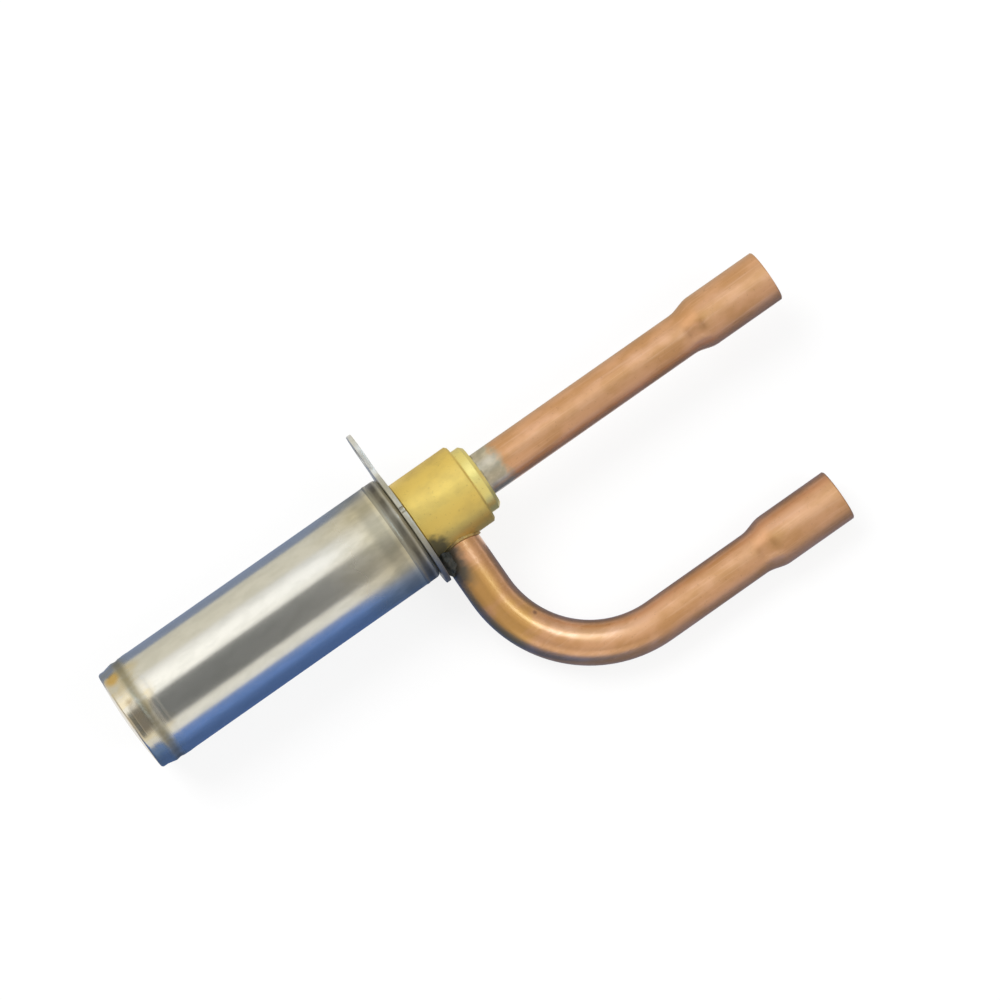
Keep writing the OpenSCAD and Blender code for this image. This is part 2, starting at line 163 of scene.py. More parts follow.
paper = bpy.data.materials.new("white_sheet")
paper.use_nodes = True
tree = paper.node_tree
lit = tree.nodes["Principled BSDF"]
lit.inputs["Base Color"].default_value = (PAPER_WHITE, PAPER_WHITE, PAPER_WHITE, 1)
lit.inputs["Roughness"].default_value = 0.9
own = add(tree, "Emission", {"Color": (1, 1, 1, 1), "Strength": 1.0})
share = add(tree, "Math", {0: seen_directly(tree), 1: OWN_WHITE}, operation="MULTIPLY")
both = add(tree, "MixShader", {0: share.outputs[0], 1: lit.outputs[0], 2: own.outputs[0]})
tree.links.new(both.outputs[0], tree.nodes["Material Output"].inputs["Surface"])
floor_mesh.materials.append(paper)

world = bpy.data.worlds.new("white_room")
bpy.context.scene.world = world
world.use_nodes = True
tree = world.node_tree
room = tree.nodes["Background"]
room.inputs["Color"].default_value = (1, 1, 1, 1)
room_level = add(tree, "MapRange", {"Value": seen_directly(tree), "To Min": ROOM_FILL, "To Max": 1.0})
tree.links.new(room_level.outputs[0], room.inputs["Strength"])
print("floor at", round(FLOOR_Z / MM, 2), "mm")

# %% [markdown]
# ## Cards
# Polished metal is a picture of what stands around it. A card is one glowing face that only
# reflections see. It could be an area lamp, but a card can be darker near one edge, and it leaves the
# floor alone.


# %% A card
def card(name, corners, colour, strength, shade=None):
    """A glowing card. Shade gives two places along Y and the share of the glow left at the first."""
    bm = bmesh.new()
    bm.faces.new([bm.verts.new(Vector(corner) * MM) for corner in corners])
    mesh = bpy.data.meshes.new(name)
    bm.to_mesh(mesh)
    bm.free()
    obj = place_object(name, mesh)
    glow = bpy.data.materials.new(name)
    glow.use_nodes = True
    tree = glow.node_tree
    light = add(tree, "Emission", {"Color": (*colour, 1), "Strength": strength})
    if shade:
        first, last, share = shade
        y = along(tree, place_in_mm(tree))[1]
        tree.links.new(fade(tree, y, first, last, strength * share, strength), light.inputs["Strength"])
    tree.links.new(light.outputs[0], tree.nodes["Material Output"].inputs["Surface"])
    mesh.materials.append(glow)
    for ray in ("camera", "diffuse", "transmission", "volume_scatter", "shadow"):
        setattr(obj, "visible_" + ray, False)


print("card maker ready")

# %% [markdown]
# ## Cards round the valve
# Long cards lie along the valve, each between two angles as seen from its axis. Over the can a bright
# one and a dark one lie side by side, with a hazy one beyond the dark one. Over the tubes the sky is more
# even, with one window that draws the bright line on the bent tube, and a small card close above that
# tube keeps the dark one out of it. Warm cards stand behind the valve and at both ends.


# %% Cards round the valve
def card_round_axis(name, start, end, colour, strength, radius=500, x_reach=(-900, 900), shade=None):
    """A card from one angle to another, counted from straight up towards the bent tube."""
    rims = [(-radius * math.sin(math.radians(a)), radius * math.cos(math.radians(a))) for a in (start, end)]
    (x0, x1), (low, high) = x_reach, rims
    card(name, [(x0, *low), (x1, *low), (x1, *high), (x0, *high)], colour, strength, shade)


def end_card(name, x, low, high, colour, strength, reach=700):
    """An upright card across the valve's axis."""
    card(name, [(x, -reach, low), (x, reach, low), (x, reach, high), (x, -reach, high)], colour, strength)


BLUE, TAN = (0.19, 0.35, 0.80), (1.0, 0.97, 0.82)
SHADE, SHADE_GLOW = (1.0, 0.953, 0.83), 0.8
card_round_axis("bright_card", -58, -10, (1.0, 1.0, 0.95), 1.45, x_reach=(-700, 20), shade=(424, 250, 0.66))
card_round_axis("dark_card", -9.5, 50.5, (0.87, 0.95, 1.0), 0.17, radius=490, x_reach=(-92, 23))
card_round_axis("haze_card", -9.5, 50.5, (1.0, 0.96, 0.88), 0.64, radius=490, x_reach=(-700, -92))
card_round_axis("cream_card", 51, 78, (1.0, 0.99, 0.9), 1.05, radius=480, x_reach=(-700, 30))
card_round_axis("tan_card", -91, -58.5, TAN, 0.85, radius=470)
card_round_axis("blue_card", 78.5, 91, BLUE, 0.85, radius=700, x_reach=(-900, 60))
card_round_axis("sky_card", -58, -21, (0.83, 0.90, 1.0), 1.02, radius=600, x_reach=(20, 900))
card_round_axis("shade_card", -21, 48, SHADE, SHADE_GLOW, radius=640, x_reach=(23, 900))
card_round_axis("low_card", 48, 84, (1.0, 0.96, 0.92), 0.62, radius=600, x_reach=(30, 900))
card_round_axis("window_card", -27, 14, (0.6, 0.8, 1.0), 5.4, x_reach=(200, 315))
card("leg_card", [(0, -60, 35), (36, -60, 35), (14, -8, 35), (0, -8, 35)], SHADE, SHADE_GLOW)
end_card("left_card", -720, -9, 420, (1.0, 0.95, 0.86), 0.5)
end_card("right_card", 760, 70, 520, (1.0, 0.95, 0.88), 0.55)

# %% [markdown]
# ## Sheets on the floor
# The can in the photograph mirrors something blue below it. The floor stays white for the camera, so
# flat cards just above it stand in for what the metal mirrors: blue and slate on the side of the bent
# tube, grey, tan and straw on the other. Three of them are darker close to the valve, which shades them.

# %% Sheets that the metal mirrors
SLATE, GREY = (0.29, 0.33, 0.44), (0.27, 0.33, 0.46)
SHEET_LIFT = 0.03
SHEET_Z = FLOOR_Z / MM + SHEET_LIFT


def sheet_card(name, corners, colour, strength, shade=None):
    card(name, [(x, y, SHEET_Z) for x, y in corners], colour, strength, shade)


sheet_card("blue_sheet", ((-400, -8), (-700, -700), (60, -700), (1.5, -8)), BLUE, 0.85, (-12, -80, 0.5))
sheet_card("slate_sheet", ((1.5, -8), (60, -700), (150, -700), (110, -3)), SLATE, 0.9, (-8, -60, 0.75))
sheet_card("grey_sheet", ((-58, 8), (1, 8), (1, 42), (-60, 42)), GREY, 1.0)
sheet_card("tan_sheet", ((-900, 42), (1, 42), (1, 470), (-900, 470)), TAN, 0.8)
sheet_card("straw_sheet", ((5, 4), (900, 4), (900, 470), (5, 470)), TAN, 0.76, (4, 40, 0.75))

# %% [markdown]
# ## Lamps
# Two soft lamps light the floor and the pieces that aren't metal. The metal doesn't mirror them,
# because its light comes from the cards.


# %% Soft lamps
def soft_lamp(name, place, size, power):
    lamp = bpy.data.lights.new(name, "AREA")
    lamp.shape, lamp.size, lamp.energy = "DISK", size, power
    obj = bpy.data.objects.new(name, lamp)
    obj.location = place
    obj.rotation_euler = (-Vector(place)).to_track_quat("-Z", "Y").to_euler()
    obj.visible_glossy = False
    bpy.context.scene.collection.objects.link(obj)


soft_lamp("key_lamp", (-0.25, 0.75, 1.0), 0.8, 12)
soft_lamp("fill_lamp", (0.6, -0.6, 0.9), 0.8, 5)

# %% [markdown]
# ## Layers for the finishes
# A worn metal is a base colour with a few layers over it: clouds of tarnish, streaks from drawing,
# stains at known places, and fine relief. Each layer is a number from 0 to 1 worked out from the
# point's place on the piece, in millimetres, so a stain stays where it is when the valve moves.


# %% Layers
def start_finish(name, colour, rough, metal=1.0):
    finish = bpy.data.materials.new(name)
    finish.use_nodes = True
    tree = finish.node_tree
    shader = tree.nodes["Principled BSDF"]
    shader.inputs["Base Color"].default_value = (*colour, 1)
    shader.inputs["Roughness"].default_value = rough
    shader.inputs["Metallic"].default_value = metal
    return finish, tree, shader, place_in_mm(tree)


def clouds(tree, place, size, detail=2.0, seed=0.0):
    """Noise whose blotches measure size, in millimetres along X, Y and Z."""
    spread = {"Vector": place, "Location": (seed, seed, seed), "Scale": [1 / s for s in size]}
    scaled = add(tree, "Mapping", spread).outputs[0]
    return add(tree, "TexNoise", {"Vector": scaled, "Scale": 1.0, "Detail": detail}).outputs["Fac"]


def math_of(tree, operation, first, second):
    return add(tree, "Math", {0: first, 1: second}, operation=operation, use_clamp=True).outputs[0]


def times(tree, *values):
    product = values[0]
    for value in values[1:]:
        product = math_of(tree, "MULTIPLY", product, value)
    return product


def plus(tree, value, factor, base):
    """Base with a share of a value added."""
    return add(tree, "Math", {0: value, 1: factor, 2: base}, operation="MULTIPLY_ADD").outputs[0]


RAGGED = 2.4  # how far noise moves a ragged rim, in millimetres


def near(tree, place, centre, inner, outer, ragged=None):
    """1 within inner of a point, 0 beyond outer. Noise can make the rim ragged."""
    gap = add(tree, "VectorMath", {0: place, 1: centre}, operation="DISTANCE").outputs["Value"]
    if ragged:
        gap = plus(tree, ragged, RAGGED, plus(tree, gap, 1.0, -RAGGED / 2))
    return fade(tree, gap, inner, outer, 1.0, 0.0)


def tint(tree, share, under, over):
    """One colour over another. A Mix node's colours are its inputs 6 and 7 and its output 2."""
    node = add(tree, "Mix", data_type="RGBA")
    for socket, value in ((node.inputs[0], share), (node.inputs[6], under), (node.inputs[7], over)):
        if isinstance(value, bpy.types.NodeSocket):
            tree.links.new(value, socket)
        else:
            socket.default_value = value if isinstance(value, float) else (*value, 1)
    return node.outputs[2]


def relief(tree, shader, height, depth):
    """Bump of that depth in millimetres."""
    bump = add(tree, "Bump", {"Height": height, "Strength": 1.0, "Distance": depth * MM})
    tree.links.new(bump.outputs[0], shader.inputs["Normal"])


FINISHES = {}


def keep(name, finish, tree):
    FINISHES[name] = finish
    print(name, len(tree.nodes), "nodes")


print("layers ready")

# %% [markdown]
# ## Stainless can
# The can is drawn tube, so fine streaks run along it. Welding has left its marks at both ends: a dull
# olive bloom towards the bracket with a narrow darker band beside the weld, and straw and brown colours
# on the closed end, darkest in the rolled groove. A dark patch on the upper side of the closed end's taper
# is a painted dark reflection. Heat colours could be painted by hand, but here they are layers placed
# along X. First comes where each of them lies.

# %% Where the can's layers lie
GROOVE_X, GROOVE_HALF = -41.35, 0.6
ORANGE_SPOT, SCORCHED_SPOT = (-42.9, 5.5, 5.45), (-42.7, 1.3, 7.6)
STEEL = (0.70, 0.68, 0.64)
finish, tree, shader, place = start_finish("can_steel", STEEL, 0.2)
x, y, z = along(tree, place)
streak = clouds(tree, place, (14, 0.22, 0.22), 3.0)
blotch = clouds(tree, place, (3.5, 1.6, 1.6), 4.0, seed=3.0)
sway = clouds(tree, place, (7.0, 2.6, 2.6), 0.5, seed=6.0)
speck = clouds(tree, place, (0.5, 0.35, 0.35), 2.0, seed=9.0)
wavy_x = plus(tree, sway, 5.0, x)
bloom = fade(tree, wavy_x, -9.4, 2.2)
closed_end = fade(tree, wavy_x, -36.4, -38.8)
off_groove = add(tree, "Math", {0: plus(tree, x, 1.0, -GROOVE_X)}, operation="ABSOLUTE").outputs[0]
groove = fade(tree, off_groove, 0.1, GROOVE_HALF, 1.0, 0.0)
grimy = fade(tree, off_groove, 0.2, 1.25, 1.0, 0.0)
heat_band = times(tree, fade(tree, x, -3.6, -2.2), fade(tree, x, -0.4, -1.0))
mottle = times(tree, bloom, fade(tree, blotch, 0.36, 0.64))
straw = times(tree, closed_end, fade(tree, blotch, 0.42, 0.62))
orange = times(tree, near(tree, place, ORANGE_SPOT, 0.5, 1.7), fade(tree, speck, 0.0, 0.4))
scorch = times(tree, near(tree, place, SCORCHED_SPOT, 0.1, 1.0), fade(tree, speck, 0.1, 0.6, 0.4, 1.0))
ragged_y = plus(tree, blotch, 2.6, y)
# painted dark reflection: a dark patch on the upper side of the closed end's taper
reflection_along = times(tree, fade(tree, x, -41.0, -42.0), fade(tree, x, -43.6, -43.1))
reflection_across = times(tree, fade(tree, ragged_y, -2.6, -1.2), fade(tree, ragged_y, 2.3, 1.1))
painted_dark_reflection = times(tree, reflection_along, reflection_across, fade(tree, z, 5.5, 6.5))
print("can layers:", len(tree.nodes), "nodes")

# %% [markdown]
# ## Colours of the can
# The colours go on roughly from the widest to the smallest, so a small mark covers what lies under it.
# The bloom and the grime in the groove also make the steel more matt. The streaks don't, because fine
# noise in the roughness would break up the long reflections. They are only a shallow relief.

# %% Can steel
colour = tint(tree, fade(tree, blotch, 0.38, 0.66, 0.0, 0.3), STEEL, (0.54, 0.53, 0.49))
colour = tint(tree, times(tree, bloom, 0.75), colour, (0.62, 0.54, 0.36))
colour = tint(tree, times(tree, mottle, 0.45), colour, (0.37, 0.335, 0.235))
colour = tint(tree, times(tree, heat_band, 0.4), colour, (0.30, 0.285, 0.24))
colour = tint(tree, times(tree, closed_end, 0.35), colour, (0.50, 0.43, 0.29))
colour = tint(tree, times(tree, straw, 0.45), colour, (0.70, 0.57, 0.34))
colour = tint(tree, times(tree, orange, 0.9), colour, (0.64, 0.41, 0.11))
colour = tint(tree, times(tree, scorch, 0.75), colour, (0.33, 0.26, 0.16))
colour = tint(tree, times(tree, grimy, fade(tree, blotch, 0.25, 0.6, 0.3, 0.7)), colour, (0.30, 0.27, 0.17))
colour = tint(tree, times(tree, groove, 0.35), colour, (0.26, 0.22, 0.14))
# the painted dark reflection on the closed end's taper
colour = tint(tree, times(tree, painted_dark_reflection, 0.8), colour, (0.20, 0.18, 0.145))
colour = tint(tree, fade(tree, speck, 0.6, 0.75, 0.0, 0.1), colour, (0.40, 0.38, 0.34))
tree.links.new(colour, shader.inputs["Base Color"])
matt = plus(tree, bloom, 0.15, 0.212)
tree.links.new(plus(tree, grimy, 0.25, matt), shader.inputs["Roughness"])
relief(tree, shader, plus(tree, sway, 4.0, streak), 0.003)
keep("can_steel", finish, tree)

# %% [markdown]
# ## Oxidised ring
# Between the bracket and the can sits the rim of the base ring. It was the hottest place in the weld
# and nobody polished it, so it is a dark, dull brown, paler right beside the can. Its edge against the
# bracket is painted lighter, a painted highlight over the shade of its rounded rim.

# %% Ring steel
finish, tree, shader, place = start_finish("ring_steel", (0.20, 0.18, 0.13), 0.45)
blotch = clouds(tree, place, (1.6, 2.4, 2.4), 3.0)
colour = tint(tree, fade(tree, blotch, 0.3, 0.7), (0.12, 0.108, 0.085), (0.21, 0.19, 0.15))
x = along(tree, place)[0]
ragged_x = plus(tree, blotch, 0.5, x)
colour = tint(tree, fade(tree, ragged_x, 1.05, 0.45, 0.0, 0.7), colour, (0.44, 0.41, 0.33))
# painted highlight over the shade of the ring's rounded rim beside the bracket
painted_rim_light = fade(tree, x, 1.15, 1.75, 0.0, 0.9)
tree.links.new(tint(tree, painted_rim_light, colour, (0.64, 0.60, 0.50)), shader.inputs["Base Color"])
tree.links.new(fade(tree, blotch, 0.3, 0.7, 0.5, 0.4), shader.inputs["Roughness"])
relief(tree, shader, blotch, 0.006)
keep("ring_steel", finish, tree)

# %% [markdown]
# ## Bracket sheet
# The bracket is punched from rolled stainless strip. The rolling leaves a fine grain in one
# direction, and handling leaves a few darker smears. Brazing has tinted it except at its far end, and
# its side towards the bent tube is darkened with painted shade from the nook between them.

# %% Bracket steel
SHEET_STEEL = (0.77, 0.76, 0.73)
finish, tree, shader, place = start_finish("bracket_steel", SHEET_STEEL, 0.35)
grain = clouds(tree, place, (0.3, 5.0, 0.12), 3.0)
smear = clouds(tree, place, (1.8, 1.8, 1.8), 3.0, seed=5.0)
colour = tint(tree, fade(tree, smear, 0.28, 0.78, 0.0, 0.6), SHEET_STEEL, (0.44, 0.43, 0.39))
y = along(tree, place)[1]
colour = tint(tree, fade(tree, y, 8.2, 5.2, 0.0, 0.75), colour, (0.42, 0.39, 0.30))
# painted shade: darker towards the bent tube, where the nook shades the bracket
nook_shade_y = plus(tree, smear, 2.4, y)
colour = tint(tree, fade(tree, nook_shade_y, -1.6, -5.0, 0.0, 0.8), colour, (0.20, 0.20, 0.195))
tree.links.new(colour, shader.inputs["Base Color"])
tree.links.new(fade(tree, grain, 0.3, 0.7, 0.42, 0.56), shader.inputs["Roughness"])
relief(tree, shader, grain, 0.004)
keep("bracket_steel", finish, tree)

# %% [markdown]
# ## Turned brass
# The body was cut on a lathe, which leaves fine rings round its axis. Brazing has dulled it except on
# the nose. In the nook between the bracket and the bent tube it is painted greenish black, partly burnt
# flux and partly painted shade of the nook.

# %% Body brass
NOOK = (3.0, -5.2, 3.2)
NOSE_X = 12.7
finish, tree, shader, place = start_finish("body_brass", (0.74, 0.55, 0.15), 0.45)
x = along(tree, place)[0]
rings = {"Vector": place, "Scale": 1.9, "Distortion": 0.6, "Detail": 2.0}
ring = add(tree, "TexWave", rings, bands_direction="X").outputs["Fac"]
dull = clouds(tree, place, (3.0, 2.4, 2.4), 4.0)
speck = clouds(tree, place, (0.4, 0.4, 0.4), 2.0, seed=4.0)
nose = fade(tree, x, NOSE_X - 0.2, NOSE_X + 0.2)
spatter = clouds(tree, place, (1.1, 1.1, 1.1), 5.0, seed=8.0)
# greenish black in the nook: partly burnt flux, partly painted shade of the nook
flux_and_shade = near(tree, place, NOOK, 1.5, 3.1, spatter)
colour = tint(tree, fade(tree, dull, 0.4, 0.7), (0.84, 0.62, 0.175), (0.745, 0.546, 0.16))
colour = tint(tree, times(tree, nose, 0.8), colour, (0.92, 0.80, 0.30))
colour = tint(tree, fade(tree, speck, 0.62, 0.74, 0.0, 0.25), colour, (0.42, 0.29, 0.08))
colour = tint(tree, times(tree, flux_and_shade, 0.85), colour, (0.11, 0.112, 0.085))
tree.links.new(colour, shader.inputs["Base Color"])
matt = plus(tree, nose, -0.1, plus(tree, dull, 0.16, 0.36))
tree.links.new(plus(tree, flux_and_shade, 0.2, matt), shader.inputs["Roughness"])
relief(tree, shader, plus(tree, dull, 1.5, ring), 0.005)
keep("body_brass", finish, tree)

# %% [markdown]
# ## Copper tubes
# Soft drawn copper dulls as soon as it is handled: salmon where it is clean, golden brown where it
# has been warm, with faint streaks along the tube, darker spots on the sockets and a small pit.

# %% Tarnish on the copper
SALMON = (0.75, 0.405, 0.22)
# each spot is a centre with the reach of its full colour and of its rim
WARM_SPOTS = (((4.4, -12.6, 0.4), 2.4, 4.6), ((6.4, -19.0, -1.0), 2.6, 4.8))
BROWN_SPOTS = (((51.4, -0.4, 3.6), 0.2, 2.2), ((42.4, -30.4, -2.0), 0.2, 2.4))
PIT = ((9.7, -19.6, -1.2), 0.1, 0.5)


def near_either(tree, place, spots):
    first, second = [near(tree, place, *spot) for spot in spots]
    return math_of(tree, "MAXIMUM", first, second)


finish, tree, shader, place = start_finish("tube_copper", SALMON, 0.45)
x, y = along(tree, place)[:2]
stain = clouds(tree, place, (5.0, 3.0, 3.0), 4.0, seed=2.0)
streak = clouds(tree, place, (9.0, 0.35, 0.35), 3.0)
speck = clouds(tree, place, (0.45, 0.45, 0.45), 2.0, seed=7.0)
patch = clouds(tree, place, (1.5, 1.2, 1.2), 3.0, seed=11.0)
colour = tint(tree, fade(tree, stain, 0.36, 0.64), SALMON, (0.64, 0.33, 0.145))
colour = tint(tree, fade(tree, streak, 0.5, 0.75, 0.0, 0.35), colour, (0.84, 0.52, 0.34))
colour = tint(tree, fade(tree, speck, 0.62, 0.76, 0.0, 0.3), colour, (0.42, 0.20, 0.09))
warmed = near_either(tree, place, WARM_SPOTS)
colour = tint(tree, times(tree, warmed, fade(tree, stain, 0.2, 0.5), 0.8), colour, (0.66, 0.36, 0.10))
browned = near_either(tree, place, BROWN_SPOTS)
colour = tint(tree, times(tree, browned, fade(tree, patch, 0.25, 0.55), 0.55), colour, (0.52, 0.26, 0.075))
colour = tint(tree, times(tree, near(tree, place, *PIT), 0.75), colour, (0.22, 0.11, 0.07))
print("copper's tarnish:", len(tree.nodes), "nodes")

# %% [markdown]
# ## Brazing marks on the copper
# The braze has run up the straight tube and turned its root silver grey, and the root of the bent tube is
# black on the bracket's side, partly flux and partly painted shade of the nook. A faint gloss lies over it
# all, like a thin film of oil. It is the shader's coat, a smoother layer that mirrors over the duller
# metal.

# %% Tube copper
OUTLET_ROOT_END = 17.6
ragged_x = plus(tree, patch, 2.4, plus(tree, y, 0.1, x))
ragged_end = fade(tree, ragged_x, OUTLET_ROOT_END + 2.0, OUTLET_ROOT_END + 0.5)
wetted = times(tree, fade(tree, y, -6.0, -4.5), ragged_end)
silver = tint(tree, fade(tree, patch, 0.35, 0.65), (0.44, 0.41, 0.32), (0.60, 0.55, 0.44))
colour = tint(tree, times(tree, wetted, 0.92), colour, silver)
# black on the bracket's side of the bent tube's root: partly flux, partly painted shade of the nook
soot_and_shade_side = fade(tree, plus(tree, patch, 1.8, x), 7.6, 5.7)
soot_and_shade_end = fade(tree, plus(tree, patch, 3.0, y), -11.2, -8.0)
soot_and_shade = times(tree, fade(tree, y, -4.6, -5.4), soot_and_shade_side, soot_and_shade_end)
colour = tint(tree, times(tree, soot_and_shade, 0.92), colour, (0.10, 0.10, 0.085))
tree.links.new(colour, shader.inputs["Base Color"])
matt = plus(tree, stain, 0.12, plus(tree, fade(tree, x, 26.0, 9.0), -0.12, 0.38))
tree.links.new(plus(tree, soot_and_shade, 0.15, matt), shader.inputs["Roughness"])
shader.inputs["Coat Weight"].default_value = 0.6
shader.inputs["Coat Roughness"].default_value = 0.18
relief(tree, shader, plus(tree, stain, 1.5, streak), 0.007)
keep("tube_copper", finish, tree)

# %% [markdown]
# ## Silver braze
# The filler metal runs by capillary action and freezes with a dull, slightly grainy skin. Round the
# bent tube it has taken up brass and is brown from the flame.

# %% Braze
finish, tree, shader, place = start_finish("braze", (0.58, 0.53, 0.42), 0.42)
y = along(tree, place)[1]
lump = clouds(tree, place, (0.9, 0.9, 0.9), 4.0)
clean = tint(tree, fade(tree, lump, 0.35, 0.65), (0.60, 0.55, 0.44), (0.40, 0.34, 0.22))
brassy = tint(tree, fade(tree, lump, 0.35, 0.65), (0.56, 0.40, 0.15), (0.34, 0.22, 0.09))
colour = tint(tree, fade(tree, y, -3.6, -4.6), clean, brassy)
# near black in the nook: partly burnt flux, partly painted shade of the nook
colour = tint(tree, times(tree, near(tree, place, NOOK, 1.8, 3.8), 0.9), colour, (0.08, 0.085, 0.06))
tree.links.new(colour, shader.inputs["Base Color"])
tree.links.new(fade(tree, lump, 0.3, 0.7, 0.36, 0.52), shader.inputs["Roughness"])
relief(tree, shader, lump, 0.02)
keep("braze", finish, tree)

# %% [markdown]
# ## Burnt flux
# Flux is a salt that melts to a glass over the joint and keeps air away from it. What isn't washed
# off stays as a black crust that goes dull.

# %% Flux
finish, tree, shader, place = start_finish("burnt_flux", (0.03, 0.033, 0.027), 0.5, 0.0)
lump = clouds(tree, place, (0.6, 0.6, 0.6), 4.0)
colour = tint(tree, fade(tree, lump, 0.4, 0.7), (0.018, 0.02, 0.017), (0.05, 0.047, 0.038))
tree.links.new(colour, shader.inputs["Base Color"])
tree.links.new(fade(tree, lump, 0.3, 0.7, 0.55, 0.8), shader.inputs["Roughness"])
relief(tree, shader, lump, 0.03)
keep("burnt_flux", finish, tree)

# %% [markdown]
# ## Finishes inside the can
# Nothing of these shows from outside, but the part can be opened or cut: ground steel with rings
# from the grinding wheel, drawn spring wire, dark filled plastic, pale slip washers and a magnet
# pressed from dark grains.


# %% Inner finishes
def inner_finish(name, base, fleck, rough, size, depth, metal=1.0):
    finish, tree, shader, place = start_finish(name, base, rough, metal)
    grain = clouds(tree, place, size, 4.0)
    tree.links.new(tint(tree, fade(tree, grain, 0.38, 0.66), base, fleck), shader.inputs["Base Color"])
    tree.links.new(fade(tree, grain, 0.3, 0.7, rough - 0.06, rough + 0.08), shader.inputs["Roughness"])
    relief(tree, shader, grain, depth)
    keep(name, finish, tree)


inner_finish("needle_steel", (0.66, 0.66, 0.66), (0.52, 0.52, 0.53), 0.24, (0.08, 4.0, 4.0), 0.003)
inner_finish("spring_steel", (0.56, 0.56, 0.57), (0.36, 0.35, 0.34), 0.28, (0.5, 0.5, 0.5), 0.004)
inner_finish("stop_plastic", (0.035, 0.035, 0.04), (0.09, 0.085, 0.08), 0.5, (0.3, 0.3, 0.3), 0.01, 0.0)
inner_finish("slip_washer", (0.72, 0.68, 0.58), (0.58, 0.52, 0.42), 0.55, (0.4, 0.4, 0.4), 0.008, 0.0)
inner_finish("magnet", (0.055, 0.055, 0.06), (0.12, 0.115, 0.11), 0.55, (0.25, 0.25, 0.25), 0.012, 0.2)

# %% [markdown]
# ## Dressing the solids
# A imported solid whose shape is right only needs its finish. Every node names its material slot in
# the record, so one loop hands the finishes out; the ring beside the bracket gets the darker steel.

# %% Dress the solids
SLOT_OF = {sub["node"]: sub["material_slot"] for sub in frame["record"]["subparts"]}
for name, node in NODES.items():
    finish = FINISHES["ring_steel" if name == "base_ring" else SLOT_OF[name]]
    node.data.materials.clear()
    node.data.materials.append(finish)
print("dressed:", len(SLOT_OF))

# %% [markdown]
# ## From a bmesh to a piece
# A new piece needs its doubles merged, its faces turned outwards, smooth shading with creases kept,
# a finish, and a body to ride on. One function does all of that, so no step is forgotten.

# %% Finish a piece
CREASE = math.radians(32)
TOUCHING = 1e-7  # corners this close, in metres, are one corner


def make_piece(bm, name, finish, stands_for=()):
    bmesh.ops.remove_doubles(bm, verts=bm.verts, dist=TOUCHING)
    bmesh.ops.recalc_face_normals(bm, faces=bm.faces)
    for face in bm.faces:
        face.smooth = True
    for edge in bm.edges:
        edge.smooth = edge.calc_face_angle(0.0) < CREASE
    mesh = bpy.data.meshes.new(name)
    bm.to_mesh(mesh)
    bm.free()
    mesh.materials.append(FINISHES[finish])
    piece = place_object(name, mesh)
    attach(piece, "valve")
    if stands_for:
        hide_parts(*stands_for)
    print(name, len(mesh.polygons), "faces")


print("piece maker ready")

# %% [markdown]
# ## Weld beads
# The can is closed by two weld runs: one where it meets the base ring, one round the end plug. A run
# freezes in overlapping scales. It could be a bump on the can, but a real bead catches the light, so
# a small oval is spun round the axis and its scales are pressed into it afterwards. The first run has
# the dark oxide of the ring.

# %% Weld beads
AXIS = {"cent": (0, 0, 0), "axis": (1, 0, 0)}
BEAD_SIDES, STEPS_PER_SCALE = 12, 4
SCALE_LAG = 1.4  # angle by which a scale's edges trail behind its middle
UNEVEN, GRAINS_PER_METRE = 1.2, 500


def turn_once(bm, steps):
    """Spins an outline once round the valve's axis."""
    bmesh.ops.spin(bm, geom=bm.verts[:] + bm.edges[:], angle=math.tau, steps=steps, use_merge=True, **AXIS)


def pull_to(vert, radius):
    """Moves a corner straight out from the axis, or in, to that radius in metres."""
    scale = radius / math.hypot(vert.co.y, vert.co.z)
    vert.co.y *= scale
    vert.co.z *= scale


def weld_bead(name, finish, x, radius, half_width, height, scales, depth):
    bm = bmesh.new()
    bmesh.ops.create_circle(bm, segments=BEAD_SIDES, radius=half_width * MM)
    bmesh.ops.scale(bm, vec=(1, height / half_width, 1), verts=bm.verts)
    bmesh.ops.translate(bm, vec=(x * MM, radius * MM, 0), verts=bm.verts)
    turn_once(bm, scales * STEPS_PER_SCALE)
    for vert in bm.verts:
        angle = math.atan2(vert.co.z, vert.co.y)
        lag = SCALE_LAG * ((vert.co.x / MM - x) / half_width) ** 2
        ridge = math.sin(scales * angle + lag) + UNEVEN * noise.noise(vert.co * GRAINS_PER_METRE)
        proud = math.hypot(vert.co.y, vert.co.z) - radius * MM
        pull_to(vert, radius * MM + proud * (1 + depth * ridge))
    make_piece(bm, name, finish)


weld_bead("base_weld", "ring_steel", 0.1, 7.95, 0.32, 0.1, 110, 0.09)
weld_bead("end_weld", "can_steel", -43.35, 7.6, 0.3, 0.11, 120, 0.05)

# %% [markdown]
# ## Crowned end
# The outer face of the plug bulges a little, as pressed or pressure-loaded ends do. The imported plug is
# flat there, which is simpler to make and to measure. The bulge is a thin lens turned about the axis:
# half of its outline is drawn and spun, and its flat back sinks into the plug.

# %% Crown on the plug
CROWN_RISE, CROWN_SINK = 0.42, 0.12
CROWN_STEPS, CROWN_SIDES = 14, 96
FLAT_WITHIN = 0.001
plug = [vert.co / MM for vert in NODES["end_plug"].data.vertices]
plug_x = min(co.x for co in plug)
crown_r = max(math.hypot(co.y, co.z) for co in plug if co.x < plug_x + FLAT_WITHIN)
curve_r = (crown_r ** 2 + CROWN_RISE ** 2) / (2 * CROWN_RISE)
arc = [crown_r * step / CROWN_STEPS for step in range(CROWN_STEPS + 1)]
outline = [(plug_x - CROWN_RISE + curve_r - math.sqrt(curve_r ** 2 - r ** 2), r) for r in arc]
outline += [(plug_x + CROWN_SINK, crown_r), (plug_x + CROWN_SINK, 0.0)]
crown = bmesh.new()
points = [crown.verts.new((x * MM, r * MM, 0)) for x, r in outline]
for first, second in zip(points, points[1:]):
    crown.edges.new((first, second))
